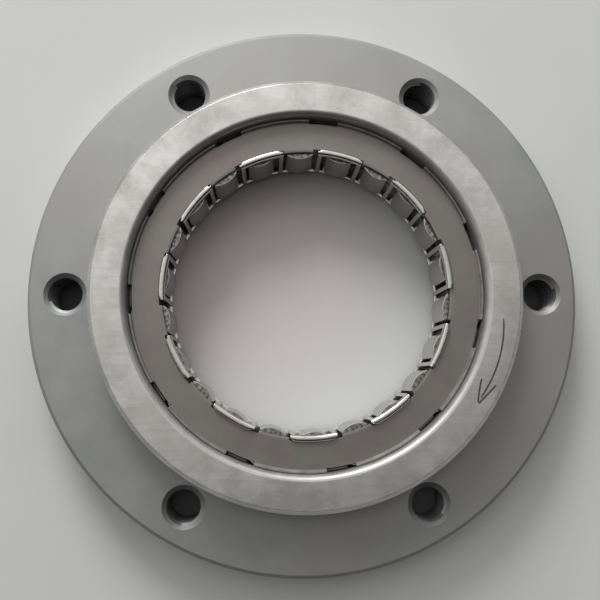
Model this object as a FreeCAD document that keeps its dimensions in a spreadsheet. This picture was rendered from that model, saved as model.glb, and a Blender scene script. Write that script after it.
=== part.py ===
import FreeCAD, Part
import math
import os
import Sketcher

# One-way starter clutch: a flanged housing whose bored ring is the outer race, with a sprag
# cartridge inside it. The sprags stand between the race and the round boss of a starter gear.
# Millimetres. The origin is the centre of the mounting face at the back, and +Z points along
# the axis to the open face of the ring. In its own body, each sprag's tilting axis crosses +X.

# Driving dimensions: name, value, meaning
DIMENSIONS = (
    ("flange_width", 14.0, "bolting flange, out from the ring"),
    ("flange_thickness", 10, "flange, from the mounting face to its front"),
    ("flange_chamfer", 0.8, "broken edges of the flange"),
    ("ring_wall", 7.79, "raised ring, from the race to its outside"),
    ("ring_rise", 7, "ring above the front of the flange"),
    ("ring_chamfer", 0.9, "outer edge of the ring"),
    ("ring_fillet", 0.8, "turned corner between the ring and the flange"),
    ("race_chamfer", 0.8, "front edge of the race"),
    ("bolt_stand", 6.0, "centres of the threaded holes, out from the ring"),
    ("bolt_count", 6, "threaded holes"),
    ("thread_core", 6.8, "core of an M8 thread"),
    ("thread_mouth", 9.1, "countersunk mouth of a threaded hole"),
    ("seat_depth", 1.0, "recess in the mounting face for the lip of the outer cage"),
    ("seat_chamfer", 0.6, "edge between the recess and the race"),
    ("boss_diameter", 57.75, "round boss that runs inside the sprags, not part of the clutch"),
    ("sprag_space", 8.335, "between the boss and the race, where the sprags wedge"),
    ("frame_count", 11, "frames of the inner cage, one for every two sprags"),
    ("first_sprag", 9.3, "angle of the first sprag's tilting axis, in degrees"),
    ("rest_reach", 0.075, "how far a raised sprag stands inside the surface of the boss"),
    ("race_play", 0.03, "between a sprag's head and the race"),
    ("head_radius", 4.3, "cam on the race, about the tilting axis"),
    ("head_width", 5.2, "width of a sprag's head"),
    ("foot_radius", 5.0, "cam on the boss"),
    ("foot_width", 5.9, "width of a sprag's foot"),
    ("foot_offset", 0.75, "foot cam centre, anticlockwise of the tilting axis"),
    ("flank_radius", 5.5, "hollow flanks of a sprag's waist"),
    ("corner_radius", 0.35, "rounded corners between cams and flanks"),
    ("foot_chamfer", 0.2, "broken end edges of a sprag's foot"),
    ("end_play", 0.35, "between a sprag's ends and the cages"),
    ("tilt_angle", 16, "how far a sprag lies back, in degrees"),
    ("plate_recess", 3.0, "plate of the outer cage below the face of the ring"),
    ("outer_sheet", 0.5, "sheet of the outer cage"),
    ("outer_play", 0.06, "between the outer cage and the race"),
    ("rim_rise", 0.9, "rim of the outer cage above its plate"),
    ("rim_round", 0.28, "rounded outer edge of the rim"),
    ("rim_slope", 0.15, "inner side of the rim, sloping down to the plate"),
    ("plate_lap", 0.65, "bore of the plate, out from the inside of the inner cage"),
    ("lip_width", 2.95, "lip of the outer cage, out from its wall"),
    ("lip_bend", 0.4, "bend between the lip and the wall of the outer cage"),
    ("lip_play", 0.04, "between the lip and its recess"),
    ("head_window", 6.1, "window for a sprag's head in the outer cage"),
    ("sill_play", 0.25, "between the sprags' lower ends and the sills of their windows"),
    ("slot_width", 6.1, "slot in the rim of the outer cage"),
    ("slot_depth", 1.7, "slot, down from the front of the plate"),
    ("slot_reach", 0.3, "slot, in from the wall of the outer cage"),
    ("leg_stand", 0.575, "inner cage, out from the boss"),
    ("inner_sheet", 0.8, "sheet of the inner cage"),
    ("floor_height", 1.6, "floor of the inner cage above the mounting face"),
    ("floor_play", 0.25, "between the inner cage's floor and the outer cage"),
    ("frame_width", 9.7, "frame of the inner cage over its two legs"),
    ("leg_width", 0.95, "leg of a frame"),
    ("frame_lead", 1.2, "frame ahead of its sprag, anticlockwise, in degrees"),
    ("rail_curl", 0.65, "rail of a frame, rolled out over the plate"),
    ("rail_rise", 0.8, "top of the rails above the plate"),
    ("rail_round", 0.35, "rounded edges of the rails"),
    ("rail_play", 0.05, "between the rolled rails and the plate"),
    ("notch_play", 0.5, "between the legs and the plate's notches, radially"),
    ("notch_side", 0.25, "between a frame and the side of its notch, at rest"),
    ("ribbon_stand", 0.12, "inside of the ribbon spring, out from the tilting axes"),
    ("ribbon_sheet", 0.25, "sheet of the ribbon spring"),
    ("ribbon_rail", 1.0, "each rail of the ribbon spring"),
    ("ribbon_play", 0.2, "between the ribbon's rails and the grooves of the sprags"),
    ("ribbon_inset", 0.3, "ribbon's edges below the ends of the sprags"),
    ("groove_inner", 0.6, "groove for the ribbon, inwards from the tilting axis"),
    ("groove_outer", 1.1, "groove for the ribbon, outwards from the tilting axis"),
    ("ribbon_window", 4.4, "window for a sprag's waist in the ribbon spring"),
    ("tongue_height", 5.0, "tongue of the ribbon spring along the sprag"),
    ("tongue_reach", 0.65, "tip of a tongue, out from the ribbon"),
    ("tongue_play", 0.06, "between the tip of a tongue and the sprag's flank"),
)

SHEET = "Sizes"
FULL_TURN = 360
MARGIN = 1.0


# A length or angle together with the spreadsheet formula that it comes from
class Size:
    def __init__(self, value, formula):
        self.value = value
        self.formula = formula

    def joined(self, sign, other, value):
        return Size(value, f"({self.formula} {sign} {formula_of(other)})")

    def __add__(self, other):
        return self.joined("+", other, self.value + value_of(other))

    def __sub__(self, other):
        return self.joined("-", other, self.value - value_of(other))

    def __mul__(self, other):
        return self.joined("*", other, self.value * value_of(other))

    def __truediv__(self, other):
        return self.joined("/", other, self.value / value_of(other))

    def __neg__(self):
        return Size(-self.value, f"(0 - {self.formula})")


def value_of(size):
    return size.value if isinstance(size, Size) else size


def formula_of(size):
    return size.formula if isinstance(size, Size) else str(size)


def root(size):
    return Size(math.sqrt(size.value), f"sqrt({size.formula})")


def cosine(size):
    return Size(math.cos(math.radians(size.value)), f"cos({size.formula})")


def sine(size):
    return Size(math.sin(math.radians(size.value)), f"sin({size.formula})")


def arcsine(size):
    return Size(math.degrees(math.asin(size.value)), f"(asin({size.formula}) / 1deg)")


# The leg of a right triangle from its longest side and its other leg
def leg(longest, other):
    return root(longest * longest - other * other)


def write_sheet(doc):
    sheet = doc.addObject("Spreadsheet::Sheet", SHEET)
    for row, (name, value, meaning) in enumerate(DIMENSIONS, start=1):
        sheet.set(f"A{row}", name)
        sheet.set(f"B{row}", str(value))
        sheet.set(f"C{row}", meaning)
        sheet.setAlias(f"B{row}", name)
    doc.recompute()
    return {name: Size(float(sheet.get(name)), f"{SHEET}.{name}") for name, _, _ in DIMENSIONS}


def bind(feature, name, size):
    feature.setExpression(name, formula_of(size))


def origin_part(body, role):
    return next(part for part in body.Origin.OriginFeatures if part.Role == role)


def new_body(name, turn):
    body = doc.addObject("PartDesign::Body", name)
    body.Label = name
    body.Placement = FreeCAD.Placement(FreeCAD.Vector(), FreeCAD.Rotation(FreeCAD.Vector(0, 0, 1), 0))
    bind(body, ".Placement.Rotation.Angle", turn)
    return body


# A sketch on one of its body's own planes, lifted off it and turned about the body's axis
def new_sketch(body, name, role, lift=0, turn=0):
    sketch = body.newObject("Sketcher::SketchObject", name)
    sketch.AttachmentSupport = [(origin_part(body, role), "")]
    sketch.MapMode = "FlatFace"
    upright = FreeCAD.Vector(0, 0, 1) if role == "XY_Plane" else FreeCAD.Vector(0, 1, 0)
    sketch.AttachmentOffset = FreeCAD.Placement(FreeCAD.Vector(), FreeCAD.Rotation(upright, 1))
    bind(sketch, ".AttachmentOffset.Base.z", lift)
    bind(sketch, ".AttachmentOffset.Rotation.Angle", turn)
    return sketch


# The side from one corner to the next: straight, or an arc that turns left (1) or right (-1)
def side_shape(start, end, radius, turn):
    first = FreeCAD.Vector(value_of(start[0]), value_of(start[1]), 0)
    last = FreeCAD.Vector(value_of(end[0]), value_of(end[1]), 0)
    if radius is None:
        return Part.LineSegment(first, last)
    along = last - first
    across = FreeCAD.Vector(-along.y, along.x, 0).normalize()
    height = math.sqrt(value_of(radius) ** 2 - (along.Length / 2) ** 2)
    centre = (first + last) / 2 + across * height * turn
    circle = Part.Circle(centre, FreeCAD.Vector(0, 0, 1), value_of(radius))
    ends = (first, last) if turn > 0 else (last, first)
    angles = [math.atan2(end.y - centre.y, end.x - centre.x) for end in ends]
    return Part.ArcOfCircle(circle, angles[0], angles[1])


# Ties one corner to its formulas, or to an axis of the sketch where it lies on one
def place_corner(sketch, number, geometry, position, corner):
    for letter, size, axis, kind in (("x", corner[0], -2, "DistanceX"), ("y", corner[1], -1, "DistanceY")):
        if isinstance(size, Size):
            constraint = Sketcher.Constraint(kind, -1, 1, geometry, position, size.value)
            name = f"{letter}{number}"
            sketch.renameConstraint(sketch.addConstraint(constraint), name)
            bind(sketch, f"Constraints.{name}", size)
        else:
            sketch.addConstraint(Sketcher.Constraint("PointOnObject", geometry, position, axis))


# A closed outline through its corners; arcs holds a radius and a turn for each curved side,
# under the number of the corner that the side starts from
def draw_outline(sketch, corners, arcs=None):
    arcs = arcs or {}
    base = sketch.GeometryCount
    sides = []
    for number, corner in enumerate(corners):
        radius, turn = arcs.get(number, (None, 1))
        following = corners[(number + 1) % len(corners)]
        geometry = sketch.addGeometry(side_shape(corner, following, radius, turn), False)
        start, end = (1, 2) if turn > 0 else (2, 1)
        sides.append((geometry, start, end))
        if radius is not None:
            name = f"radius{base + number}"
            constraint = Sketcher.Constraint("Radius", geometry, value_of(radius))
            sketch.renameConstraint(sketch.addConstraint(constraint), name)
            bind(sketch, f"Constraints.{name}", radius)
    for number, corner in enumerate(corners):
        geometry, start, end = sides[number]
        before, _, joint = sides[number - 1]
        sketch.addConstraint(Sketcher.Constraint("Coincident", before, joint, geometry, start))
        place_corner(sketch, base + number, geometry, start, corner)
    return sketch


def rectangle(low_x, low_y, high_x, high_y):
    return [(low_x, low_y), (high_x, low_y), (high_x, high_y), (low_x, high_y)]


def revolve(body, name, sketch, kind="PartDesign::Revolution", axis="V_Axis"):
    turned = body.newObject(kind, name)
    turned.Profile = sketch
    turned.ReferenceAxis = (sketch, [axis])
    turned.Angle = FULL_TURN
    sketch.Visibility = False
    return turned


def pad(body, name, sketch, length):
    block = body.newObject("PartDesign::Pad", name)
    block.Profile = sketch
    bind(block, "Length", length)
    return block


def pocket(body, name, sketch, length, outwards=False):
    cut = body.newObject("PartDesign::Pocket", name)
    cut.Profile = sketch
    cut.Reversed = outwards
    bind(cut, "Length", length)
    return cut


def pattern(body, name, feature, count):
    copies = body.newObject("PartDesign::PolarPattern", name)
    copies.Originals = [feature]
    copies.Axis = (origin_part(body, "Z_Axis"), [""])
    copies.Angle = FULL_TURN
    bind(copies, "Occurrences", count)
    body.Tip = copies
    return copies


# Heights, radii and angles that several pieces share
def shared_sizes(s):
    s["height"] = s["flange_thickness"] + s["ring_rise"]
    s["boss"] = s["boss_diameter"] / 2
    s["race"] = s["boss"] + s["sprag_space"]
    s["ring"] = s["race"] + s["ring_wall"]
    s["flange"] = s["ring"] + s["flange_width"]
    s["plate_top"] = s["height"] - s["plate_recess"]
    s["plate_under"] = s["plate_top"] - s["outer_sheet"]
    s["floor_top"] = s["floor_height"] + s["inner_sheet"]
    s["sprag_low"] = s["floor_top"] + s["end_play"]
    s["sprag_high"] = s["plate_under"] - s["end_play"]
    s["wall_outer"] = s["race"] - s["outer_play"]
    s["wall_inner"] = s["wall_outer"] - s["outer_sheet"]
    s["lip"] = s["wall_outer"] + s["lip_width"]
    s["leg_inner"] = s["boss"] + s["leg_stand"]
    s["leg_outer"] = s["leg_inner"] + s["inner_sheet"]
    s["axis_radius"] = s["race"] - s["race_play"] - s["head_radius"]
    s["sprag_count"] = s["frame_count"] * 2
    s["pitch"] = Size(FULL_TURN, str(FULL_TURN)) / s["sprag_count"]
    s["frame_half"] = arcsine(s["frame_width"] / 2 / s["leg_outer"])
    s["cage_travel"] = (s["axis_radius"] - s["leg_outer"]) / s["leg_outer"] * s["tilt_angle"]
    s["head_corner"] = s["axis_radius"] + leg(s["head_radius"], s["head_width"] / 2)
    reach = s["boss"] - s["rest_reach"] + s["foot_radius"]
    s["foot_corner"] = leg(reach, s["foot_offset"]) - leg(s["foot_radius"], s["foot_width"] / 2)


# Flange and outer race, turned in one piece, with its threaded holes
def make_housing(s):
    body = new_body("housing", 0)
    flange = s["flange"]
    ring = s["ring"]
    seat = s["lip"] + s["lip_play"]
    section = draw_outline(new_sketch(body, "housing_section", "XZ_Plane"), [
        (seat, 0),
        (flange - s["flange_chamfer"], 0),
        (flange, s["flange_chamfer"]),
        (flange, s["flange_thickness"] - s["flange_chamfer"]),
        (flange - s["flange_chamfer"], s["flange_thickness"]),
        (ring + s["ring_fillet"], s["flange_thickness"]),
        (ring, s["flange_thickness"] + s["ring_fillet"]),
        (ring, s["height"] - s["ring_chamfer"]),
        (ring - s["ring_chamfer"], s["height"]),
        (s["race"] + s["race_chamfer"], s["height"]),
        (s["race"], s["height"] - s["race_chamfer"]),
        (s["race"], s["seat_depth"] + s["seat_chamfer"]),
        (s["race"] + s["seat_chamfer"], s["seat_depth"]),
        (seat, s["seat_depth"]),
    ], {5: (s["ring_fillet"], -1)})
    revolve(body, "housing_turned", section)
    doc.recompute()

    centre = ring + s["bolt_stand"]
    core = s["thread_core"] / 2
    mouth = s["thread_mouth"] / 2
    hole = draw_outline(new_sketch(body, "hole_section", "XZ_Plane"), [
        (centre, -(mouth - core)),
        (centre + mouth + (mouth - core), -(mouth - core)),
        (centre + core, mouth - core),
        (centre + core, s["flange_thickness"] - mouth + core),
        (centre + mouth + (mouth - core), s["flange_thickness"] + mouth - core),
        (centre, s["flange_thickness"] + mouth - core),
    ])
    drilled = revolve(body, "hole_drilled", hole, "PartDesign::Groove", "Edge6")
    pattern(body, "bolt_holes", drilled, s["bolt_count"])
    return body


# Drawn cup: a plate at the front, a windowed wall along the race and a lip in the recess
def make_outer_cage(s):
    body = new_body("outer_cage", s["first_sprag"])
    bore = s["leg_inner"] + s["plate_lap"]
    lip_low = s["seat_depth"] - s["outer_sheet"]
    rim = s["plate_top"] + s["rim_rise"]
    section = draw_outline(new_sketch(body, "outer_section", "XZ_Plane"), [
        (s["wall_inner"], lip_low),
        (s["lip"], lip_low),
        (s["lip"], s["seat_depth"]),
        (s["wall_outer"] + s["lip_bend"], s["seat_depth"]),
        (s["wall_outer"], s["seat_depth"] + s["lip_bend"]),
        (s["wall_outer"], rim - s["rim_round"]),
        (s["wall_outer"] - s["rim_round"], rim),
        (s["wall_inner"], rim),
        (s["wall_inner"] - s["rim_slope"], s["plate_top"]),
        (bore, s["plate_top"]),
        (bore, s["plate_under"]),
        (s["wall_inner"], s["plate_under"]),
    ], {3: (s["lip_bend"], -1), 5: (s["rim_round"], 1)})
    revolve(body, "outer_drawn", section)
    doc.recompute()

    half = s["head_window"] / 2
    window = draw_outline(new_sketch(body, "head_window_outline", "YZ_Plane"),
                          rectangle(-half, s["sprag_low"] - s["sill_play"], half, s["plate_under"]))
    cut = pocket(body, "head_window", window, s["race"], outwards=True)
    pattern(body, "head_windows", cut, s["sprag_count"])
    doc.recompute()

    half = s["slot_width"] / 2
    lead = s["frame_lead"] + s["pitch"] / 2
    slot = draw_outline(new_sketch(body, "slot_outline", "XY_Plane", rim, lead),
                        rectangle(s["wall_inner"] - s["slot_reach"], -half, s["race"], half))
    cut = pocket(body, "rim_slot", slot, s["rim_rise"] + s["slot_depth"])
    pattern(body, "rim_slots", cut, s["frame_count"])
    doc.recompute()

    # A notch leaves a frame room to turn with the laid-back sprags
    side = arcsine(s["notch_side"] / s["leg_outer"])
    low = s["frame_lead"] - s["frame_half"] - side
    high = s["frame_lead"] + s["frame_half"] + side + s["cage_travel"]
    near = s["leg_inner"] - MARGIN
    far = s["leg_outer"] + s["notch_play"]
    notch = draw_outline(new_sketch(body, "notch_outline", "XY_Plane", s["plate_top"]), [
        (near * cosine(low), near * sine(low)),
        (far * cosine(low), far * sine(low)),
        (far * cosine(high), far * sine(high)),
        (near * cosine(high), near * sine(high)),
    ], {1: (far, 1)})
    cut = pocket(body, "frame_notch", notch, s["outer_sheet"])
    pattern(body, "frame_notches", cut, s["frame_count"])
    return body


# Floor ring with upright frames: every second sprag stands in a frame, the others between two
def make_inner_cage(s):
    body = new_body("inner_cage", s["first_sprag"] + s["frame_lead"])
    floor = s["wall_inner"] - s["floor_play"]
    rail_low = s["plate_top"] + s["rail_play"]
    rail_top = s["plate_top"] + s["rail_rise"]
    rail = s["leg_outer"] + s["rail_curl"]
    section = draw_outline(new_sketch(body, "inner_section", "XZ_Plane"), [
        (s["leg_inner"], s["floor_height"]),
        (floor, s["floor_height"]),
        (floor, s["floor_top"]),
        (s["leg_outer"], s["floor_top"]),
        (s["leg_outer"], rail_low),
        (rail, rail_low),
        (rail, rail_top - s["rail_round"]),
        (rail - s["rail_round"], rail_top),
        (s["leg_inner"] + s["rail_round"], rail_top),
        (s["leg_inner"], rail_top - s["rail_round"]),
    ], {6: (s["rail_round"], 1), 8: (s["rail_round"], 1)})
    revolve(body, "inner_drawn", section)
    doc.recompute()

    half = s["frame_width"] / 2 - s["leg_width"]
    window = draw_outline(new_sketch(body, "foot_window_outline", "YZ_Plane"),
                          rectangle(-half, s["floor_top"], half, s["plate_under"]))
    cut = pocket(body, "foot_window", window, s["leg_outer"] + MARGIN, outwards=True)
    pattern(body, "foot_windows", cut, s["frame_count"])
    doc.recompute()

    half = s["pitch"] - s["frame_half"]
    near = s["leg_inner"] - MARGIN
    far = rail + MARGIN
    gap = draw_outline(new_sketch(body, "gap_outline", "XY_Plane", rail_top, s["pitch"]), [
        (near * cosine(half), -(near * sine(half))),
        (far * cosine(half), -(far * sine(half))),
        (far * cosine(half), far * sine(half)),
        (near * cosine(half), near * sine(half)),
    ])
    cut = pocket(body, "frame_gap", gap, rail_top - s["floor_top"])
    pattern(body, "frame_gaps", cut, s["frame_count"])
    return body


# Side of a sprag's clockwise flank, at a distance from the axis of the clutch
def flank_side(s, distance):
    low = s["foot_offset"] - s["foot_width"] / 2
    high = -s["head_width"] / 2
    along = s["head_corner"] - s["foot_corner"]
    across = high - low
    chord = root(along * along + across * across)
    height = leg(s["flank_radius"], chord / 2) / chord
    centre_x = (s["foot_corner"] + s["head_corner"]) / 2 + across * height
    centre_y = (low + high) / 2 - along * height
    return centre_y + leg(s["flank_radius"], distance - centre_x)


# Ladder of spring sheet through the grooves of the sprags, with a tongue beside each of them
def make_ribbon_spring(s):
    body = new_body("ribbon_spring", s["first_sprag"])
    inside = s["axis_radius"] + s["ribbon_stand"]
    outside = inside + s["ribbon_sheet"]
    low = s["sprag_low"] + s["ribbon_inset"]
    high = s["sprag_high"] - s["ribbon_inset"]
    section = draw_outline(new_sketch(body, "ribbon_section", "XZ_Plane"),
                           rectangle(inside, low, outside, high))
    revolve(body, "ribbon_rolled", section)
    doc.recompute()

    half = s["ribbon_window"] / 2
    window = draw_outline(new_sketch(body, "waist_window_outline", "YZ_Plane"),
                          rectangle(-half, low + s["ribbon_rail"], half, high - s["ribbon_rail"]))
    cut = pocket(body, "waist_window", window, outside + MARGIN, outwards=True)
    pattern(body, "waist_windows", cut, s["sprag_count"])
    doc.recompute()

    # Each tongue leans out from the side of its window until it meets the sprag's flank
    base = (low + high - s["tongue_height"]) / 2
    tip = outside + s["tongue_reach"]
    touch = flank_side(s, tip) - s["tongue_play"]
    tongue = draw_outline(new_sketch(body, "tongue_outline", "XY_Plane", base), [
        (inside, -half - s["ribbon_sheet"]),
        (outside, -half - s["ribbon_sheet"]),
        (tip, touch),
        (tip - s["ribbon_sheet"], touch),
    ])
    bent = pad(body, "tongue", tongue, s["tongue_height"])
    pattern(body, "tongues", bent, s["sprag_count"])
    return body


# Edges of a feature that run along the body's axis
def upright_edges(feature, length):
    edges = enumerate(feature.Shape.Edges, start=1)
    return [f"Edge{n}" for n, edge in edges if abs(edge.BoundBox.ZLength - value_of(length)) < 0.001]


# The two end edges of the foot cam
def foot_edges(feature, s):
    names = []
    for number, edge in enumerate(feature.Shape.Edges, start=1):
        curve = edge.Curve
        level = edge.BoundBox.ZLength < 0.001
        if level and isinstance(curve, Part.Circle) and abs(curve.Radius - s["foot_radius"].value) < 0.001:
            names.append(f"Edge{number}")
    return names


# Cam-shaped strut: its head rolls on the race and its foot on the boss
def make_sprag(s, number):
    name = f"sprag_{number + 1:02d}"
    body = new_body(name, s["first_sprag"] + s["pitch"] * number)
    head_half = s["head_width"] / 2
    foot_half = s["foot_width"] / 2
    profile = draw_outline(new_sketch(body, f"{name}_profile", "XY_Plane", s["sprag_low"]), [
        (s["foot_corner"], s["foot_offset"] - foot_half),
        (s["head_corner"], -head_half),
        (s["head_corner"], head_half),
        (s["foot_corner"], s["foot_offset"] + foot_half),
    ], {0: (s["flank_radius"], -1), 1: (s["head_radius"], 1),
        2: (s["flank_radius"], -1), 3: (s["foot_radius"], 1)})
    length = s["sprag_high"] - s["sprag_low"]
    block = pad(body, f"{name}_blank", profile, length)
    doc.recompute()

    rounded = body.newObject("PartDesign::Fillet", f"{name}_corners")
    rounded.Base = (block, upright_edges(block, length))
    bind(rounded, "Radius", s["corner_radius"])
    doc.recompute()

    broken = body.newObject("PartDesign::Chamfer", f"{name}_foot_edges")
    broken.Base = (rounded, foot_edges(rounded, s))
    bind(broken, "Size", s["foot_chamfer"])
    doc.recompute()

    depth = s["ribbon_inset"] + s["ribbon_rail"] + s["ribbon_play"]
    near = s["axis_radius"] - s["groove_inner"]
    far = s["axis_radius"] + s["groove_outer"]
    groove = new_sketch(body, f"{name}_grooves", "XZ_Plane")
    draw_outline(groove, rectangle(near, s["sprag_low"] - MARGIN, far, s["sprag_low"] + depth))
    draw_outline(groove, rectangle(near, s["sprag_high"] - depth, far, s["sprag_high"] + MARGIN))
    cut = pocket(body, f"{name}_grooved", groove, s["head_width"] * 2)
    cut.Midplane = True
    return body


def check(document, bodies):
    for item in document.Objects:
        if "Invalid" in item.State or "Error" in item.State:
            raise RuntimeError(f"{item.Name}: {item.State}")
    for body in bodies:
        if body.Shape.isNull() or not body.Shape.isValid() or len(body.Shape.Solids) != 1:
            raise RuntimeError(f"{body.Label} is not one valid solid")


doc = FreeCAD.newDocument("starter_clutch")
sizes = write_sheet(doc)
shared_sizes(sizes)
pieces = [make_housing(sizes), make_outer_cage(sizes), make_inner_cage(sizes), make_ribbon_spring(sizes)]
pieces += [make_sprag(sizes, number) for number in range(round(sizes["sprag_count"].value))]
doc.recompute()
check(doc, pieces)

os.makedirs("parts", exist_ok=True)
for piece in pieces:
    piece.Shape.exportStep(f"parts/{piece.Label}.step")
    print(f"{piece.Label:14s} {piece.Shape.Volume:10.1f} mm3")
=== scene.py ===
import math

import bmesh
import bpy
from mathutils import Matrix, Vector


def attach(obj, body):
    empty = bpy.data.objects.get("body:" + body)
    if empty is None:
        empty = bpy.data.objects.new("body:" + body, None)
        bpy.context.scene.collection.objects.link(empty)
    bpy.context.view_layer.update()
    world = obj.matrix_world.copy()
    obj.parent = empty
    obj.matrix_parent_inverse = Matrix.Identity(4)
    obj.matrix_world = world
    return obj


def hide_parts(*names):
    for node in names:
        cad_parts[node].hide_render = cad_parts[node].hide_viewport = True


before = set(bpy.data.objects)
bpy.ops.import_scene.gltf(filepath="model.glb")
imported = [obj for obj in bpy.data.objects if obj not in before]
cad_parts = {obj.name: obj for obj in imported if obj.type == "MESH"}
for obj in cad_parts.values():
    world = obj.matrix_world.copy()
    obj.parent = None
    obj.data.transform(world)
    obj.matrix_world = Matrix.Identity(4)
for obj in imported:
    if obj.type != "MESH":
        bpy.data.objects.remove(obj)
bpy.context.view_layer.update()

MM = 0.001
ROOT = "clutch_body"
SHARP = math.radians(28)
STRAIGHT = math.radians(89)

# Sizes in millimetres, as in the solids apart from the rounds, the threads and the broken edges.
# The origin is the centre of the mounting face.
FLANGE = {"radius": 59.0, "top": 10.0, "edge": 0.8}
RING = {"radius": 45.0, "top": 17.0, "edge": 0.9, "fillet": 0.8}
RACE = {"radius": 37.21, "edge": 0.8, "edge_round": 1.15, "seat_radius": 40.14, "seat_depth": 1.0,
        "seat_edge": 0.6}
THREAD = {"circle": 51.0, "count": 6, "core": 3.38, "major": 4.0, "pitch": 1.25, "mouth": 4.55}
OUTER = {"wall": 37.15, "inside": 36.65, "plate_top": 14.0, "plate_under": 13.5, "bore": 30.1,
         "rim_top": 14.9, "rim_round": 0.28, "rim_slope": 0.15, "lip": 40.1, "lip_top": 1.0,
         "lip_low": 0.5, "lip_bend": 0.4, "window": 6.1, "sill": 2.5, "slot": 6.1, "slot_low": 12.3,
         "slot_in": 36.35, "notch_far": 30.75, "notch_side": 0.25}
INNER = {"inside": 29.45, "outside": 30.25, "floor": 36.4, "floor_low": 1.6, "floor_top": 2.4,
         "width": 9.7, "leg": 0.95, "rail": 30.9, "rail_low": 14.05, "rail_top": 14.8,
         "rail_round": 0.6, "corner": 1.2}
SPRAG = {"reach": 28.8, "axis": 32.88, "head_radius": 4.3, "head_width": 5.2, "foot_radius": 5.0,
         "foot_width": 5.9, "foot_offset": 0.75, "flank_radius": 5.5, "low": 2.75, "high": 13.15,
         "groove_in": 0.6, "groove_out": 1.1, "groove_depth": 1.5, "round": 0.2}
BREAK = 0.12
BEVEL = 0.09
ARC_STEPS = 4

# Angles in degrees: the first sprag, how far its frame is ahead of it, the inner cage's travel,
# the part of the clutch that holds one frame, and the most that one column of a cage takes up
FRAMES = 11
FIRST = 9.3
LEAD = 1.2
TRAVEL = 1.39
SECTOR = 360 / FRAMES
COLUMN = 0.8
HOUSING_COLUMNS = 360


def points_on_arc(centre, radius, start, end, steps):
    turns = [start + (end - start) * step / steps for step in range(steps + 1)]
    return [(centre[0] + radius * math.cos(turn), centre[1] + radius * math.sin(turn)) for turn in turns]


# An arc from one point to another that turns left (1) or right (-1), without its last point
def arc_between(start, end, radius, turn, steps):
    first = Vector(start)
    last = Vector(end)
    along = last - first
    across = Vector((-along.y, along.x)).normalized()
    centre = (first + last) / 2 + across * math.sqrt(radius ** 2 - (along.length / 2) ** 2) * turn
    begin = math.atan2(first.y - centre.y, first.x - centre.x)
    sweep = 2 * math.asin(along.length / 2 / radius) * turn
    return points_on_arc(centre, radius, begin, begin + sweep, steps)[:-1]


# A closed outline with each corner, given as (x, y, radius), rounded by its own radius
def rounded(corners, steps=3):
    outline = []
    for number, (x, y, radius) in enumerate(corners):
        corner = Vector((x, y))
        before = (Vector(corners[number - 1][:2]) - corner).normalized()
        after = (Vector(corners[(number + 1) % len(corners)][:2]) - corner).normalized()
        half = before.angle(after) / 2
        if radius == 0 or half > STRAIGHT:
            outline.append((x, y))
            continue
        centre = corner + (before + after).normalized() * radius / math.sin(half)
        first = corner + before * radius / math.tan(half) - centre
        last = corner + after * radius / math.tan(half) - centre
        start = math.atan2(first.y, first.x)
        sweep = first.angle_signed(last)
        outline += points_on_arc(centre, radius, start, start - sweep, steps)
    return outline


def new_object(name, mesh):
    item = bpy.data.objects.new(name, mesh)
    bpy.context.scene.collection.objects.link(item)
    return item


def mesh_from(name, points, faces):
    mesh = bpy.data.meshes.new(name)
    mesh.from_pydata([Vector(point) * MM for point in points], [], faces)
    mesh.update()
    return new_object(name, mesh)


# Turns a closed outline of (radius, height) about the axis of the clutch
def lathe(name, outline, segments=HOUSING_COLUMNS):
    points = []
    faces = []
    count = len(outline)
    for turn in range(segments):
        angle = math.tau * turn / segments
        points += [(r * math.cos(angle), r * math.sin(angle), z) for r, z in outline]
        following = (turn + 1) % segments
        for corner in range(count):
            after = (corner + 1) % count
            faces.append((turn * count + corner, following * count + corner,
                          following * count + after, turn * count + after))
    return outward(mesh_from(name, points, faces))


def outward(item):
    bm = bmesh.new()
    bm.from_mesh(item.data)
    bmesh.ops.recalc_face_normals(bm, faces=bm.faces)
    bm.to_mesh(item.data)
    bm.free()
    return item


# Cuts one closed mesh out of another and deletes the cutter
def cut(item, cutter):
    modifier = item.modifiers.new("cut", "BOOLEAN")
    modifier.operation = "DIFFERENCE"
    modifier.solver = "EXACT"
    modifier.object = cutter
    apply(item)
    bpy.data.objects.remove(cutter)


def apply(item):
    graph = bpy.context.evaluated_depsgraph_get()
    mesh = bpy.data.meshes.new_from_object(item.evaluated_get(graph))
    item.modifiers.clear()
    item.data = mesh


# Smooth shading up to the sharp edges, in which wide flat faces stay flat
def smooth(item):
    for face in item.data.polygons:
        face.use_smooth = True
    item.data.set_sharp_from_angle(angle=SHARP)
    level = item.modifiers.new("level", "WEIGHTED_NORMAL")
    level.mode = "FACE_AREA"
    level.weight = 100
    level.keep_sharp = True
    apply(item)


# Rounds the sharp edges of a mesh a little
def soften(item, width, steps=2):
    modifier = item.modifiers.new("soften", "BEVEL")
    modifier.width = width * MM
    modifier.segments = steps
    modifier.limit_method = "ANGLE"
    modifier.angle_limit = SHARP
    modifier.use_clamp_overlap = False
    apply(item)
    smooth(item)


# Repeats a mesh about the axis of the clutch and joins the copies
def around(item, count, start=0.0):
    bm = bmesh.new()
    bm.from_mesh(item.data)
    base = bm.verts[:] + bm.edges[:] + bm.faces[:]
    for number in range(1, count):
        copy = bmesh.ops.duplicate(bm, geom=base)["geom"]
        turned = [part for part in copy if isinstance(part, bmesh.types.BMVert)]
        bmesh.ops.rotate(bm, verts=turned, matrix=Matrix.Rotation(math.tau * number / count, 3, "Z"))
    bmesh.ops.rotate(bm, verts=bm.verts, matrix=Matrix.Rotation(start, 3, "Z"))
    bm.to_mesh(item.data)
    bm.free()
    return item


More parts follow.
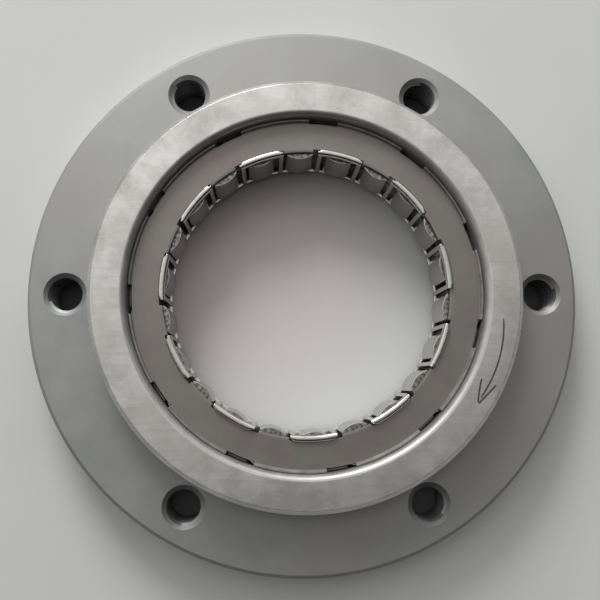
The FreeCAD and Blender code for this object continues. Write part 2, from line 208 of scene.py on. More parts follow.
# Angles of a ring's columns: the marks of one sector, with even steps between them, repeated
def column_angles(marks):
    marks = sorted(mark % SECTOR for mark in marks)
    sector = []
    for number, mark in enumerate(marks):
        following = marks[number + 1] if number + 1 < len(marks) else marks[0] + SECTOR
        steps = max(1, round((following - mark) / COLUMN))
        sector += [mark + (following - mark) * step / steps for step in range(steps)]
    return [angle + SECTOR * number for number in range(FRAMES) for angle in sector]


def in_span(angle, low, high):
    return (angle - low) % SECTOR < high - low


def everywhere(angle):
    return True


# A ring built of blocks. Each block is an outline of named points of the section, and it stands
# in the columns that its test allows. Faces between two blocks are left out.
def block_ring(name, points, blocks, marks, bend=None):
    angles = column_angles(marks)
    names = list(points)
    index = {key: number for number, key in enumerate(names)}
    size = len(names)
    places = []
    for angle in angles:
        for key in names:
            r, z = bend(key, angle, *points[key]) if bend else points[key]
            turn = math.radians(angle)
            places.append((r * math.cos(turn), r * math.sin(turn), z))
    faces = {}
    for outline, allowed in blocks:
        corners = [index[key] for key in outline]
        for column, angle in enumerate(angles):
            following = (column + 1) % len(angles)
            width = (angles[following] - angle) % 360
            if not allowed(angle + width / 2):
                continue
            near = [column * size + corner for corner in corners]
            far = [following * size + corner for corner in corners]
            sides = [(near[n], far[n], far[n - 1], near[n - 1]) for n in range(len(near))]
            for face in sides + [tuple(near), tuple(far)]:
                key = frozenset(face)
                if key in faces:
                    del faces[key]
                else:
                    faces[key] = face
    item = mesh_from(name, places, list(faces.values()))
    bm = bmesh.new()
    bm.from_mesh(item.data)
    bmesh.ops.delete(bm, geom=[vert for vert in bm.verts if not vert.link_faces], context="VERTS")
    bmesh.ops.recalc_face_normals(bm, faces=bm.faces)
    bm.to_mesh(item.data)
    bm.free()
    return item


# Half the angle that a width takes up at a radius, in degrees
def half_angle(width, radius):
    return math.degrees(math.asin(width / 2 / radius))


# Closed helical rod that leaves an internal thread where it is cut out
def thread_rod():
    columns = 48
    start = -3
    spare = 4
    depth = THREAD["major"] - THREAD["core"]
    # Shares of the pitch and of the depth: a flat at the core, a flank, and a flat at the major circle
    profile = ((0.0, 0.0), (0.25, 0.0), (0.5625, 1.0), (0.6875, 1.0))
    turns = math.ceil((FLANGE["top"] + spare) / THREAD["pitch"])
    rows = turns * len(profile)
    points = []
    for column in range(columns):
        angle = math.tau * column / columns
        for row in range(rows):
            share, rise = profile[row % len(profile)]
            radius = THREAD["core"] + depth * rise
            height = (row // len(profile) + share + column / columns) * THREAD["pitch"] + start
            points.append((THREAD["circle"] + radius * math.cos(angle), radius * math.sin(angle), height))
    faces = []
    for column in range(columns - 1):
        for row in range(rows - 1):
            corner = column * rows + row
            faces.append((corner, corner + rows, corner + rows + 1, corner + 1))
    last = (columns - 1) * rows
    for row in range(rows - 1 - len(profile)):
        seam = row + len(profile)
        faces.append((last + row, seam, seam + 1, last + row + 1))
    rod = mesh_from("thread_rod", points, faces)
    bm = bmesh.new()
    bm.from_mesh(rod.data)
    middle = FLANGE["top"] / 2 * MM
    edges = [edge for edge in bm.edges if edge.is_boundary]
    for side in (-1, 1):
        cap = bm.verts.new((THREAD["circle"] * MM, 0, middle + side * FLANGE["top"] * MM))
        for edge in edges:
            if (edge.verts[0].co.z - middle) * side > 0:
                bm.faces.new((edge.verts[0], edge.verts[1], cap))
    bm.to_mesh(rod.data)
    bm.free()
    return outward(rod)


# Two cones that countersink the ends of a hole
def mouth_cones():
    columns = 64
    beyond = 1
    reach = THREAD["mouth"] + beyond
    deep = THREAD["mouth"] - THREAD["core"]
    lower = ((reach, -beyond), (THREAD["core"], deep))
    upper = ((THREAD["core"], FLANGE["top"] - deep), (reach, FLANGE["top"] + beyond))
    points = []
    faces = []
    for ends in (lower, upper):
        base = len(points)
        points += [(THREAD["circle"], 0, height) for _, height in ends]
        for column in range(columns):
            angle = math.tau * column / columns
            for radius, height in ends:
                points.append((THREAD["circle"] + radius * math.cos(angle), radius * math.sin(angle), height))
        for column in range(columns):
            near = base + 2 + column * 2
            far = base + 2 + (column + 1) % columns * 2
            faces += [(base, far, near), (near, far, far + 1, near + 1), (near + 1, far + 1, base + 1)]
    return outward(mesh_from("mouth_cones", points, faces))


# Arrow for the turning direction, etched in the ring: a curved shaft and two barbs.
# A stroke has three points, its start, middle and end, each a radius in millimetres and an
# angle in degrees. Its ends are narrower than the rest by the share in end_width.
ARROW = {
    "width": 0.36, "depth": 0.07, "steps": 16, "end_width": 0.55, "above": 0.5,
    "strokes": (((40.8, -8.3), (41.65, -20.0), (41.45, -32.2)),
                ((39.8, -27.2), (40.45, -30.6), (41.45, -33.7)),
                ((43.0, -26.9), (42.3, -30.2), (41.6, -33.9))),
}


# Thin closed strip along a stroke, standing in the face of the ring
def stroke_cutter(stroke):
    ends = [Vector((r * math.cos(math.radians(a)), r * math.sin(math.radians(a)))) for r, a in stroke]
    first, middle, last = ends
    handle = middle * 2 - (first + last) / 2
    path = []
    for step in range(ARROW["steps"] + 1):
        share = step / ARROW["steps"]
        path.append(first * (1 - share) ** 2 + handle * 2 * share * (1 - share) + last * share ** 2)
    points = []
    for number, place in enumerate(path):
        along = (path[min(number + 1, len(path) - 1)] - path[max(number - 1, 0)]).normalized()
        taper = ARROW["end_width"] if number in (0, len(path) - 1) else 1.0
        side = Vector((-along.y, along.x)) * ARROW["width"] / 2 * taper
        for edge in (place - side, place + side):
            for height in (RING["top"] - ARROW["depth"], RING["top"] + ARROW["above"]):
                points.append((edge.x, edge.y, height))
    faces = [(0, 1, 3, 2)]
    for number in range(len(path) - 1):
        near = number * 4
        far = near + 4
        faces += [(near, near + 2, far + 2, far), (near + 1, far + 1, far + 3, near + 3),
                  (near, far, far + 1, near + 1), (near + 2, near + 3, far + 3, far + 2)]
    last = (len(path) - 1) * 4
    faces.append((last, last + 2, last + 3, last + 1))
    return outward(mesh_from("stroke_cutter", points, faces))


def make_housing():
    outline = rounded([
        (RACE["seat_radius"], 0, BREAK),
        (FLANGE["radius"] - FLANGE["edge"], 0, BREAK),
        (FLANGE["radius"], FLANGE["edge"], BREAK),
        (FLANGE["radius"], FLANGE["top"] - FLANGE["edge"], BREAK),
        (FLANGE["radius"] - FLANGE["edge"], FLANGE["top"], BREAK),
        (RING["radius"], FLANGE["top"], RING["fillet"]),
        (RING["radius"], RING["top"] - RING["edge"], BREAK),
        (RING["radius"] - RING["edge"], RING["top"], BREAK),
        (RACE["radius"] + RACE["edge"], RING["top"], RACE["edge_round"]),
        (RACE["radius"], RING["top"] - RACE["edge"], RACE["edge_round"]),
        (RACE["radius"], RACE["seat_depth"] + RACE["seat_edge"], BREAK),
        (RACE["radius"] + RACE["seat_edge"], RACE["seat_depth"], BREAK),
        (RACE["seat_radius"], RACE["seat_depth"], 0),
    ])
    housing = lathe("housing_machined", outline)
    for stroke in ARROW["strokes"]:
        cut(housing, stroke_cutter(stroke))
    cut(housing, around(mouth_cones(), THREAD["count"]))
    cut(housing, around(thread_rod(), THREAD["count"]))
    smooth(housing)
    return finished(housing, ROOT, "housing_steel", "housing")


# Drawn cup of thin sheet: plate with notches, raised rim with slots, windowed wall and lip
def make_outer_cage():
    rim_arc = points_on_arc((OUTER["wall"] - OUTER["rim_round"], OUTER["rim_top"] - OUTER["rim_round"]),
                            OUTER["rim_round"], 0, math.pi / 2, ARC_STEPS)
    lip_arc = points_on_arc((OUTER["wall"] + OUTER["lip_bend"], OUTER["lip_top"] + OUTER["lip_bend"]),
                            OUTER["lip_bend"], math.pi, math.pi * 1.5, ARC_STEPS)
    levels = {"lip": OUTER["lip_low"], "top": OUTER["lip_top"] + OUTER["lip_bend"], "sill": OUTER["sill"],
              "slot": OUTER["slot_low"], "under": OUTER["plate_under"], "plate": OUTER["plate_top"]}
    points = {f"in_{key}": (OUTER["inside"], z) for key, z in levels.items()}
    points.update({f"out_{key}": (OUTER["wall"], z) for key, z in levels.items() if key != "lip"})
    points.update({f"rim_{number}": point for number, point in enumerate(rim_arc)})
    points.update({f"bend_{number}": point for number, point in enumerate(lip_arc[1:])})
    points.update({
        "lip_low": (OUTER["lip"], OUTER["lip_low"]),
        "lip_high": (OUTER["lip"], OUTER["lip_top"]),
        "rim_in": (OUTER["inside"], OUTER["rim_top"]),
        "slope": (OUTER["inside"] - OUTER["rim_slope"], OUTER["plate_top"]),
        "slope_under": (OUTER["inside"] - OUTER["rim_slope"], OUTER["plate_under"]),
        "slot_top": (OUTER["slot_in"], OUTER["plate_top"]),
        "slot_under": (OUTER["slot_in"], OUTER["plate_under"]),
        "notch_top": (OUTER["notch_far"], OUTER["plate_top"]),
        "notch_under": (OUTER["notch_far"], OUTER["plate_under"]),
        "bore_top": (OUTER["bore"], OUTER["plate_top"]),
        "bore_under": (OUTER["bore"], OUTER["plate_under"]),
    })
    window = half_angle(OUTER["window"], OUTER["wall"])
    slot_low = FIRST + window
    slot_high = slot_low + 2 * half_angle(OUTER["slot"], OUTER["inside"])
    frame_half = half_angle(INNER["width"], INNER["outside"])
    side = half_angle(OUTER["notch_side"] * 2, INNER["outside"])
    notch_low = FIRST + LEAD - frame_half - side
    notch_high = FIRST + LEAD + frame_half + side + TRAVEL
    second = FIRST + SECTOR / 2

    def no_window(angle):
        return not (in_span(angle, FIRST - window, FIRST + window)
                    or in_span(angle, second - window, second + window))

    def no_slot(angle):
        return not in_span(angle, slot_low, slot_high)

    def no_notch(angle):
        return not in_span(angle, notch_low, notch_high)

    def pillar(angle):
        return no_window(angle) and no_slot(angle)

    rim = [f"rim_{number}" for number in range(len(rim_arc))]
    bends = [f"bend_{number}" for number in range(len(lip_arc) - 1)]
    blocks = [
        (["in_lip", "lip_low", "lip_high"] + bends[::-1] + ["out_top", "in_top"], everywhere),
        (["in_top", "out_top", "out_sill", "in_sill"], everywhere),
        (["in_sill", "out_sill", "out_slot", "in_slot"], no_window),
        (["in_slot", "out_slot", "out_under", "in_under"], pillar),
        (["in_under", "out_under", "out_plate"] + rim + ["rim_in", "in_plate"], no_slot),
        (["slope", "in_plate", "rim_in"], no_slot),
        (["slope_under", "in_under", "in_plate", "slope"], no_slot),
        (["slot_under", "slope_under", "slope", "slot_top"], no_slot),
        (["notch_under", "slot_under", "slot_top", "notch_top"], everywhere),
        (["bore_under", "notch_under", "notch_top", "bore_top"], no_notch),
    ]
    marks = (FIRST - window, FIRST + window, second - window, second + window,
             slot_high, notch_low, notch_high)
    cage = block_ring("outer_cage_drawn", points, blocks, marks)
    soften(cage, BEVEL)
    return finished(cage, ROOT, "dark_sheet", "outer_cage")


# Floor ring with upright frames, whose rails roll out over the plate
def make_inner_cage():
    rail_arc = points_on_arc((INNER["rail"] - INNER["rail_round"], INNER["rail_top"] - INNER["rail_round"]),
                             INNER["rail_round"], 0, math.pi / 2, ARC_STEPS)
    crest_arc = points_on_arc((INNER["inside"] + INNER["rail_round"],
                               INNER["rail_top"] - INNER["rail_round"]),
                              INNER["rail_round"], math.pi / 2, math.pi, ARC_STEPS)
    levels = {"low": INNER["floor_low"], "floor": INNER["floor_top"],
              "under": OUTER["plate_under"], "rail": INNER["rail_low"]}
    points = {f"in_{key}": (INNER["inside"], z) for key, z in levels.items()}
    points.update({f"out_{key}": (INNER["outside"], z) for key, z in levels.items()})
    points.update({f"rail_{number}": point for number, point in enumerate(rail_arc)})
    points.update({f"crest_{number}": point for number, point in enumerate(crest_arc)})
    points.update({
        "edge_low": (INNER["floor"], INNER["floor_low"]),
        "edge_top": (INNER["floor"], INNER["floor_top"]),
        "rail_foot": (INNER["rail"], INNER["rail_low"]),
    })
    centre = FIRST + LEAD
    frame_half = half_angle(INNER["width"], INNER["outside"])
    window = half_angle(INNER["width"] - 2 * INNER["leg"], INNER["outside"])

    def in_frame(angle):
        return in_span(angle, centre - frame_half, centre + frame_half)

    def in_leg(angle):
        return in_frame(angle) and not in_span(angle, centre - window, centre + window)

    overhang = 0.02

    # The ends of each rail are rounded off in plan
    def bend(key, angle, r, z):
        if r <= INNER["outside"] or z < INNER["rail_low"]:
            return r, z
        away = (angle - centre + SECTOR / 2) % SECTOR - SECTOR / 2
        left = math.radians(frame_half - abs(away)) * INNER["outside"]
        if left >= INNER["corner"]:
            return r, z
        short = INNER["corner"] - max(left, 0)
        drop = INNER["corner"] - math.sqrt(INNER["corner"] ** 2 - short ** 2)
        return max(r - drop, INNER["outside"] + overhang), z

    rails = [f"rail_{number}" for number in range(len(rail_arc))]
    crest = [f"crest_{number}" for number in range(len(crest_arc))]
    blocks = [
        (["in_low", "out_low", "out_floor", "in_floor"], everywhere),
        (["out_low", "edge_low", "edge_top", "out_floor"], everywhere),
        (["in_floor", "out_floor", "out_under", "in_under"], in_leg),
        (["in_under", "out_under", "out_rail", "in_rail"], in_frame),
        (["in_rail", "out_rail", "rail_foot"] + rails + crest, in_frame),
    ]
    corner = half_angle(2 * INNER["corner"], INNER["outside"])
    corner_steps = (0, 0.08, 0.2, 0.38, 0.65, 1)
    marks = [centre - window, centre + window]
    for share in corner_steps:
        marks += [centre - frame_half + corner * share, centre + frame_half - corner * share]
    cage = block_ring("inner_cage_drawn", points, blocks, marks, bend)
    soften(cage, BEVEL)
    return finished(cage, "inner_cage", "bright_sheet", "inner_cage")


# The four corners of a sprag's section: foot and head on one side, head and foot on the other
def sprag_corners():
    head_half = SPRAG["head_width"] / 2
    foot_half = SPRAG["foot_width"] / 2
    head_x = SPRAG["axis"] + math.sqrt(SPRAG["head_radius"] ** 2 - head_half ** 2)
    centre = math.sqrt((SPRAG["reach"] + SPRAG["foot_radius"]) ** 2 - SPRAG["foot_offset"] ** 2)
    foot_x = centre - math.sqrt(SPRAG["foot_radius"] ** 2 - foot_half ** 2)
    return [(foot_x, SPRAG["foot_offset"] - foot_half), (head_x, -head_half),
            (head_x, head_half), (foot_x, SPRAG["foot_offset"] + foot_half)]


def make_sprag():
    corners = sprag_corners()
    near = SPRAG["axis"] - SPRAG["groove_in"]
    far = SPRAG["axis"] + SPRAG["groove_out"]
    fine = 240
    coarse = 28
    reach = 0.03
    head_steps = 11
    foot_steps = 12
    right = arc_between(corners[0], corners[1], SPRAG["flank_radius"], -1, fine)
    left = arc_between(corners[2], corners[3], SPRAG["flank_radius"], -1, fine)

    # A few points of a flank's arc: its start, the edges of the groove, and steps after each
    def thin(flank):
        marks = [0]
        for x in (near, far):
            marks.append(min(range(len(flank)), key=lambda n: abs(flank[n][0] - x)))
        marks = sorted(marks) + [len(flank)]
        kept = []
        for low, high in zip(marks, marks[1:]):
            steps = max(2, round((high - low) / coarse))
            kept += [low + (high - low) * step // steps for step in range(steps)]
        return [flank[number] for number in kept]

    right = thin(right)
    left = thin(left)
    head = arc_between(corners[1], corners[2], SPRAG["head_radius"], 1, head_steps)
    foot = arc_between(corners[3], corners[0], SPRAG["foot_radius"], 1, foot_steps)
    outline = right + head + left + foot

    # The points nearest to the edges of the groove lie exactly on them
    def snap(x):
        for edge in (near, far):
            if abs(x - edge) < reach:
                return edge
        return x

    outline = [(snap(x), y) for x, y in outline]
    count = len(outline)
    low = SPRAG["low"]
    high = SPRAG["high"]
    levels = (low, low + SPRAG["groove_depth"], high - SPRAG["groove_depth"], high)
    points = [(x, y, z) for z in levels for x, y in outline]
    splits = [number for number, (x, _) in enumerate(outline) if x in (near, far)]
    first, second, third, fourth = splits
    foot_part = list(range(fourth, count)) + list(range(0, first + 1))
    waist_part = list(range(first, second + 1)) + list(range(third, fourth + 1))
    head_part = list(range(second, third + 1))

    def at(level, numbers):
        return [level * count + number for number in numbers]

    faces = [at(0, foot_part)[::-1], at(3, foot_part), at(0, head_part)[::-1], at(3, head_part),
             at(1, waist_part)[::-1], at(2, waist_part)]
    for number in range(count):
        after = (number + 1) % count
        middle = first <= number < second or third <= number < fourth
        if middle:
            face = at(1, [number, after]) + at(2, [after, number])
        else:
            face = at(0, [number, after])
            if after in splits:
                face += [count + after, 2 * count + after]
            face += at(3, [after, number])
            if number in splits:
                face += [2 * count + number, count + number]
        faces.append(face)
    for a, b in ((first, fourth), (third, second)):
        faces.append([a, count + a, count + b, b])
        faces.append([2 * count + a, 3 * count + a, 3 * count + b, 2 * count + b])
    sprag = outward(mesh_from("sprag_ground", points, faces))
    soften(sprag, SPRAG["round"], steps=3)
    return sprag


def sprag_zone(radius, height, x, y, normal):
    return int(abs(normal.z) > ZONE["level"])


def make_sprags(*materials):
    pattern = make_sprag()
    dress(pattern, *materials)
    zone(pattern, sprag_zone)
    for number in range(FRAMES * 2):
        node = f"sprag_{number + 1:02d}"
        item = new_object(f"{node}_ground", pattern.data)
        item.matrix_world = Matrix.Rotation(math.radians(FIRST + SECTOR / 2 * number), 4, "Z")
        finished(item, node, "sprag_steel", node)
    bpy.data.objects.remove(pattern)


def finished(item, body, slot, *nodes):
    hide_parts(*nodes)
    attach(item, body)
    return item


def dress(item, *materials):
    item.data.materials.clear()
    for material in materials:
        item.data.materials.append(material)


# Bounds by which faces are told apart for their materials, in millimetres. A face whose normal has
# a vertical share above level is an end of a sprag.
ZONE = {"hole": 0.05, "flat": 0.02, "etch_low": 0.2, "etch_high": 0.01, "etch_side": 1.2, "face": 0.05,
        "bore": 0.1, "level": 0.98}


# Gives each face the number of a material by its normal and by its centre in millimetres
def zone(item, choose):
    for face in item.data.polygons:
        x, y, z = face.center / MM
        face.material_index = choose(math.hypot(x, y), z, x, y, face.normal)


# Nearly all values of a noise lie between these
NOISE_LOW = 0.3
NOISE_HIGH = 0.7


# Shader graph of one material. Space to shades return an output of what they add, and the last
# three methods feed the shader.
class Paint:
    def __init__(self, name, colour, metallic, roughness):
        self.material = bpy.data.materials.new(name)
        self.material.use_nodes = True
        self.tree = self.material.node_tree
        self.shader = self.tree.nodes["Principled BSDF"]
        self.shader.inputs["Base Color"].default_value = (*colour, 1)
        self.shader.inputs["Metallic"].default_value = metallic
        self.shader.inputs["Roughness"].default_value = roughness
        self.place = self.node("ShaderNodeTexCoord").outputs["Object"]

    def node(self, kind, **settings):
        added = self.tree.nodes.new(kind)
        for name, value in settings.items():
            setattr(added, name, value)
        return added

    def feed(self, value, socket):
        if isinstance(value, bpy.types.NodeSocket):
            self.tree.links.new(value, socket)
        else:
            socket.default_value = value

    # Stretches the texture space, in features per millimetre along each axis
    def space(self, x, y, z, turn=0.0):
        mapping = self.node("ShaderNodeMapping")
        self.feed(self.place, mapping.inputs["Vector"])
        mapping.inputs["Rotation"].default_value = (0, 0, turn)
        mapping.inputs["Scale"].default_value = (x / MM, y / MM, z / MM)
        return mapping.outputs["Vector"]

    def even(self, features):
        return self.space(features, features, features)

    def noise(self, space, detail, rough):
        added = self.node("ShaderNodeTexNoise")
        self.feed(space, added.inputs["Vector"])
        added.inputs["Scale"].default_value = 1.0
        added.inputs["Detail"].default_value = detail
        added.inputs["Roughness"].default_value = rough
        return added.outputs["Fac"]

    def remap(self, value, low, high, to_low, to_high):
        added = self.node("ShaderNodeMapRange")
        self.feed(value, added.inputs["Value"])
        for name, number in (("From Min", low), ("From Max", high), ("To Min", to_low), ("To Max", to_high)):
            added.inputs[name].default_value = number
        return added.outputs["Result"]

    # Spreads a noise over a range of values
    def spread(self, value, to_low, to_high):
        return self.remap(value, NOISE_LOW, NOISE_HIGH, to_low, to_high)

    def math(self, operation, first, second):
        added = self.node("ShaderNodeMath", operation=operation)
        self.feed(first, added.inputs[0])
        self.feed(second, added.inputs[1])
        return added.outputs["Value"]

    def mix(self, share, first, second):
        added = self.node("ShaderNodeMix", data_type="RGBA")
        self.feed(share, added.inputs["Factor"])
        for socket, value in ((added.inputs[6], first), (added.inputs[7], second)):
            self.feed(value if isinstance(value, bpy.types.NodeSocket) else (*value, 1), socket)
        return added.outputs[2]

    # Goes from one colour to another with a noise
    def shades(self, value, first, second, low=NOISE_LOW, high=NOISE_HIGH):
        return self.mix(self.remap(value, low, high, 0, 1), first, second)

    def colour(self, value):
        self.feed(value, self.shader.inputs["Base Color"])

    def roughness(self, value):
        self.feed(value, self.shader.inputs["Roughness"])

    def bump(self, height, depth):
        added = self.node("ShaderNodeBump")
        added.inputs["Strength"].default_value = 1.0
        added.inputs["Distance"].default_value = depth * MM
        self.feed(height, added.inputs["Height"])
        self.feed(added.outputs["Normal"], self.shader.inputs["Normal"])


# Blasted and oiled steel of the flange
def flange_steel():
    paint = Paint("flange_steel", (0.37, 0.37, 0.36), 0.82, 0.6)
    grain = paint.noise(paint.even(4), 3, 0.6)
    cloud = paint.noise(paint.even(0.09), 4, 0.6)
    stain = paint.noise(paint.even(0.03), 2, 0.5)
    tone = paint.shades(cloud, (0.3, 0.308, 0.304), (0.385, 0.39, 0.375))
    paint.colour(paint.mix(paint.remap(stain, 0.4, 0.7, 0, 0.7), tone, (0.35, 0.325, 0.31)))
    worn = paint.spread(cloud, 0.54, 0.66)
    paint.roughness(paint.math("ADD", worn, paint.spread(grain, -0.04, 0.04)))
    paint.bump(grain, 0.012)
    return paint.material


# Ground face of the ring: straight grinding marks, worn patches, and fine scratches both ways
def ring_steel():
    paint = Paint("ring_steel", (0.6, 0.585, 0.565), 1.0, 0.34)
    grinding = math.radians(38)
    across = math.radians(-25)
    marks = paint.noise(paint.space(0.1, 7, 1, grinding), 4, 0.7)
    wide = paint.noise(paint.space(0.05, 0.9, 1, grinding), 3, 0.6)
    scratch = paint.noise(paint.space(0.2, 3.5, 1, across), 2, 0.6)
    cloud = paint.noise(paint.even(0.13), 5, 0.7)
    patch = paint.noise(paint.even(0.05), 3, 0.6)
    tone = paint.shades(cloud, (0.48, 0.465, 0.445), (0.67, 0.66, 0.645), 0.38, 0.62)
    tone = paint.mix(paint.remap(patch, 0.42, 0.62, 0, 0.55), tone, (0.61, 0.565, 0.55))
    tone = paint.mix(paint.remap(wide, 0.5, 0.66, 0, 0.4), tone, (0.46, 0.465, 0.47))
    lines = paint.remap(scratch, 0.64, 0.7, 0, 0.45)
    paint.colour(paint.mix(lines, tone, (0.74, 0.73, 0.71)))
    worn = paint.math("ADD", paint.spread(cloud, 0.25, 0.37), paint.remap(wide, 0.35, 0.65, -0.04, 0.05))
    paint.roughness(paint.math("ADD", worn, paint.spread(marks, -0.03, 0.03)))
    paint.bump(marks, 0.0025)
    return paint.material


# Turned race and the cage's seat inside the ring
def turned_steel():
    paint = Paint("turned_steel", (0.43, 0.42, 0.41), 0.75, 0.46)
    rings = paint.noise(paint.space(0.05, 0.05, 8), 2, 0.6)
    cloud = paint.noise(paint.even(0.3), 3, 0.6)
    worn = paint.spread(cloud, 0.42, 0.52)
    paint.roughness(paint.math("ADD", worn, paint.spread(rings, -0.04, 0.04)))
    paint.colour(paint.shades(cloud, (0.38, 0.37, 0.36), (0.46, 0.45, 0.44)))
    paint.bump(rings, 0.003)
    return paint.material


# Walls of the threaded holes, painted nearly black as painted shade for the shade deep in the holes
def shaded_thread_steel():
    paint = Paint("shaded_thread_steel", (0.08, 0.08, 0.085), 0.8, 0.4)
    cloud = paint.noise(paint.even(1.5), 3, 0.6)
    paint.colour(paint.shades(cloud, (0.06, 0.062, 0.068), (0.11, 0.11, 0.11)))
    paint.roughness(paint.spread(cloud, 0.3, 0.5))
    return paint.material


# Blackened floor and sides of the etched arrow
def etched_steel():
    paint = Paint("etched_steel", (0.06, 0.058, 0.055), 0.3, 0.65)
    cloud = paint.noise(paint.even(3), 3, 0.6)
    paint.colour(paint.shades(cloud, (0.04, 0.038, 0.036), (0.11, 0.1, 0.095)))
    return paint.material


# Hardened sheet of the outer cage, dark and mottled
def dark_sheet():
    paint = Paint("dark_sheet", (0.23, 0.215, 0.205), 0.75, 0.48)
    mottle = paint.noise(paint.even(0.11), 4, 0.6)
    patch = paint.noise(paint.even(0.2), 2, 0.5)
    grain = paint.noise(paint.even(5), 2, 0.5)
    warm = paint.shades(mottle, (0.222, 0.195, 0.19), (0.235, 0.233, 0.212), 0.35, 0.65)
    paint.colour(paint.mix(paint.remap(patch, 0.5, 0.75, 0, 0.6), warm, (0.265, 0.218, 0.215)))
    paint.roughness(paint.spread(mottle, 0.44, 0.54))
    paint.bump(grain, 0.003)
    return paint.material


# Raised rim of the outer cage, painted lighter than the plate as a painted highlight along its crest
def rim_highlight_sheet():
    paint = Paint("rim_highlight_sheet", (0.28, 0.265, 0.255), 0.6, 0.55)
    cloud = paint.noise(paint.even(0.4), 4, 0.6)
    paint.colour(paint.shades(cloud, (0.2, 0.19, 0.183), (0.34, 0.325, 0.31)))
    paint.roughness(paint.spread(cloud, 0.48, 0.62))
    return paint.material


# Tumbled bright sheet of the inner cage
def bright_sheet():
    paint = Paint("bright_sheet", (0.62, 0.6, 0.58), 1.0, 0.2)
    cloud = paint.noise(paint.even(0.5), 4, 0.6)
    dents = paint.noise(paint.even(1.1), 2, 0.5)
    paint.colour(paint.shades(cloud, (0.54, 0.52, 0.5), (0.66, 0.64, 0.62)))
    paint.roughness(paint.spread(cloud, 0.14, 0.26))
    paint.bump(dents, 0.02)
    return paint.material


# Rolled strip of the ribbon spring
def spring_strip():
    paint = Paint("spring_strip", (0.5, 0.49, 0.47), 1.0, 0.28)
    cloud = paint.noise(paint.even(0.6), 3, 0.6)
    paint.colour(paint.shades(cloud, (0.42, 0.41, 0.39), (0.54, 0.53, 0.5)))
    paint.roughness(paint.spread(cloud, 0.22, 0.36))
    return paint.material


# Polished sprags, with fine lines along them
def sprag_steel():
    paint = Paint("sprag_steel", (0.48, 0.465, 0.455), 1.0, 0.2)
    lines = paint.noise(paint.space(3, 3, 0.15), 3, 0.6)
    cloud = paint.noise(paint.even(0.5), 3, 0.6)
    paint.colour(paint.shades(cloud, (0.42, 0.405, 0.395), (0.53, 0.515, 0.505)))
    worn = paint.spread(cloud, 0.15, 0.25)
    paint.roughness(paint.math("ADD", worn, paint.spread(lines, -0.03, 0.05)))
    paint.bump(lines, 0.003)
    return paint.material


# Ends of the sprags, dull from tumbling
def end_steel():
    paint = Paint("end_steel", (0.24, 0.23, 0.22), 0.9, 0.4)
    speckle = paint.noise(paint.even(1.6), 4, 0.7)
    paint.colour(paint.shades(speckle, (0.11, 0.103, 0.098), (0.42, 0.4, 0.39), 0.4, 0.62))
    paint.roughness(paint.spread(speckle, 0.45, 0.28))
    paint.bump(speckle, 0.03)
    return paint.material


# Pale paper: a faint tint inside the bore, and a ring of painted shade under the flange, which only the holes
# show, for the shade deep in the holes. In metres: the tint's centre, and the radii between which the tint
# fades out and the ring of painted shade comes and goes
PAPER = {"centre": (-0.012, 0.008, 0), "tint": (0.014, 0.036), "shade_from": (0.038, 0.044),
         "shade_to": (0.0555, 0.0575)}


def paper():
    paint = Paint("paper", (0.62, 0.63, 0.61), 0, 0.9)
    cloud = paint.noise(paint.even(0.02), 2, 0.5)
    tone = paint.shades(cloud, (0.6, 0.607, 0.592), (0.63, 0.637, 0.622))
    apart = paint.node("ShaderNodeVectorMath", operation="DISTANCE")
    paint.feed(paint.place, apart.inputs[0])
    apart.inputs[1].default_value = PAPER["centre"]
    tint = paint.remap(apart.outputs["Value"], *PAPER["tint"], 0.9, 0)
    tone = paint.mix(tint, tone, (0.69, 0.61, 0.617))
    out = paint.node("ShaderNodeVectorMath", operation="LENGTH")
    paint.feed(paint.place, out.inputs[0])
    # Painted shade: a dark ring on the paper under the flange, seen only through the holes
    under = paint.math("MULTIPLY", paint.remap(out.outputs["Value"], *PAPER["shade_from"], 0, 1),
                       paint.remap(out.outputs["Value"], *PAPER["shade_to"], 1, 0))
    paint.colour(paint.mix(under, tone, (0.16, 0.16, 0.165)))
    return paint.material


# Camera over the clutch, tilted as in the photo: angles in degrees, lengths in millimetres,
# the lens and the frame in pixels, and clip in metres
CAMERA = {"tilt": 6.47, "turn": 2.55, "distance": 153.35, "right": -1.32, "up": -1.22,
          "lens": 715.5, "frame": 600, "sensor": 36, "clip": 0.001}


def make_camera():
    data = bpy.data.cameras.new("camera")
    data.sensor_width = CAMERA["sensor"]
    data.lens = data.sensor_width * CAMERA["lens"] / CAMERA["frame"]
    data.clip_start = CAMERA["clip"]
    camera = new_object("camera", data)
    place = Vector((CAMERA["right"], CAMERA["up"], CAMERA["distance"])) * MM
    tilted = Matrix.Rotation(math.radians(CAMERA["tilt"]), 4, "X")
    turned = Matrix.Rotation(-math.radians(CAMERA["turn"]), 4, "Y")
    middle = Matrix.Translation((0, 0, FLANGE["top"] * MM))
    camera.matrix_world = middle @ tilted @ turned @ Matrix.Translation(place)
    bpy.context.scene.camera = camera


def make_stage():
    size = 2.0
    gap = 0.00005
    mesh = bpy.data.meshes.new("floor")
    corners = [(-size, -size, 0), (size, -size, 0), (size, size, 0), (-size, size, 0)]
    mesh.from_pydata(corners, [], [(0, 1, 2, 3)])
    floor = new_object("floor", mesh)
    floor.location.z = -gap
    dress(floor, paper())


# Soft window beyond the top of the picture, a little to the left, in metres, and a room that is
# lighter on that side: from low to high along its direction it goes from dark to light
LAMP = {"place": (-0.18, 0.60, 0.33), "size": 0.3, "power": 3.6}
ROOM = {"towards": (-0.30, 0.85, 0.42), "low": 0.0, "high": 0.75, "dark": 0.02, "light": 1.05,
        "colour": (1.0, 1.0, 0.98, 1)}


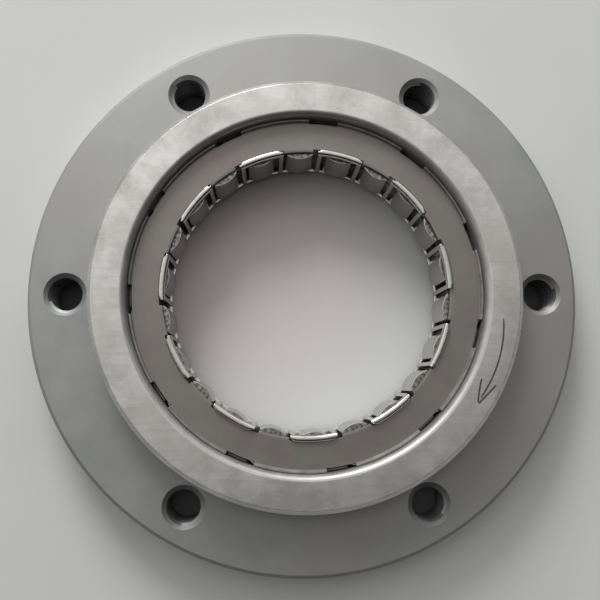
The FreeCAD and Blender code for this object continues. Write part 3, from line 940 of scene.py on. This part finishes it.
def make_lights():
    data = bpy.data.lights.new("window", "AREA")
    data.shape = "DISK"
    data.size = LAMP["size"]
    data.energy = LAMP["power"]
    lamp = new_object("window", data)
    lamp.location = LAMP["place"]
    lamp.rotation_euler = (-Vector(LAMP["place"])).to_track_quat("-Z", "Y").to_euler()

    world = bpy.data.worlds.new("room")
    bpy.context.scene.world = world
    world.use_nodes = True
    nodes = world.node_tree.nodes
    links = world.node_tree.links
    background = nodes["Background"]
    coordinates = nodes.new("ShaderNodeTexCoord")
    across = nodes.new("ShaderNodeVectorMath")
    across.operation = "DOT_PRODUCT"
    across.inputs[1].default_value = Vector(ROOM["towards"]).normalized()
    ramp = nodes.new("ShaderNodeMapRange")
    for socket, key in (("From Min", "low"), ("From Max", "high"), ("To Min", "dark"), ("To Max", "light")):
        ramp.inputs[socket].default_value = ROOM[key]
    links.new(coordinates.outputs["Generated"], across.inputs[0])
    links.new(across.outputs["Value"], ramp.inputs["Value"])
    links.new(ramp.outputs["Result"], background.inputs["Strength"])
    background.inputs["Color"].default_value = ROOM["colour"]


# Numbers of the housing's materials, in the order in which it is dressed
BLASTED, GROUND, TURNED, THREADED, ETCHED = range(5)


# How far a place is from the axis of the nearest hole
def from_hole(x, y):
    turns = [math.tau * number / THREAD["count"] for number in range(THREAD["count"])]
    return min(math.hypot(x - THREAD["circle"] * math.cos(turn), y - THREAD["circle"] * math.sin(turn))
               for turn in turns)


# Which steel a face of the housing shows
def housing_zone(radius, height, x, y, normal):
    top = FLANGE["top"]
    face = RING["top"]
    # The walls of the holes get the steel with painted shade, their mouths stay blasted
    if from_hole(x, y) < THREAD["mouth"] + ZONE["hole"] and ZONE["flat"] < height < top - ZONE["flat"]:
        return BLASTED if height > top - THREAD["mouth"] + THREAD["core"] else THREADED
    etched = face - ZONE["etch_low"] < height < face - ZONE["etch_high"]
    if etched and RACE["radius"] + ZONE["etch_side"] < radius < RING["radius"] - ZONE["etch_side"]:
        return ETCHED
    if height < ZONE["flat"] or height > face - ZONE["face"]:
        return GROUND
    if height > face - RING["edge"] and radius > RING["radius"] - RING["edge"]:
        return GROUND
    if radius < RACE["seat_radius"] + ZONE["bore"]:
        return TURNED
    return BLASTED


# Faces above the plate, on the raised rim, get the lighter sheet of the painted highlight
def cage_zone(radius, height, x, y, normal):
    return int(height > OUTER["plate_top"] + ZONE["face"])


make_camera()
make_stage()
make_lights()
bpy.context.scene.view_settings.view_transform = "Standard"

housing = make_housing()
dress(housing, flange_steel(), ring_steel(), turned_steel(), shaded_thread_steel(), etched_steel())
zone(housing, housing_zone)
outer_cage = make_outer_cage()
dress(outer_cage, dark_sheet(), rim_highlight_sheet())
zone(outer_cage, cage_zone)
dress(make_inner_cage(), bright_sheet())
make_sprags(sprag_steel(), end_steel())
dress(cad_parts["ribbon_spring"], spring_strip())
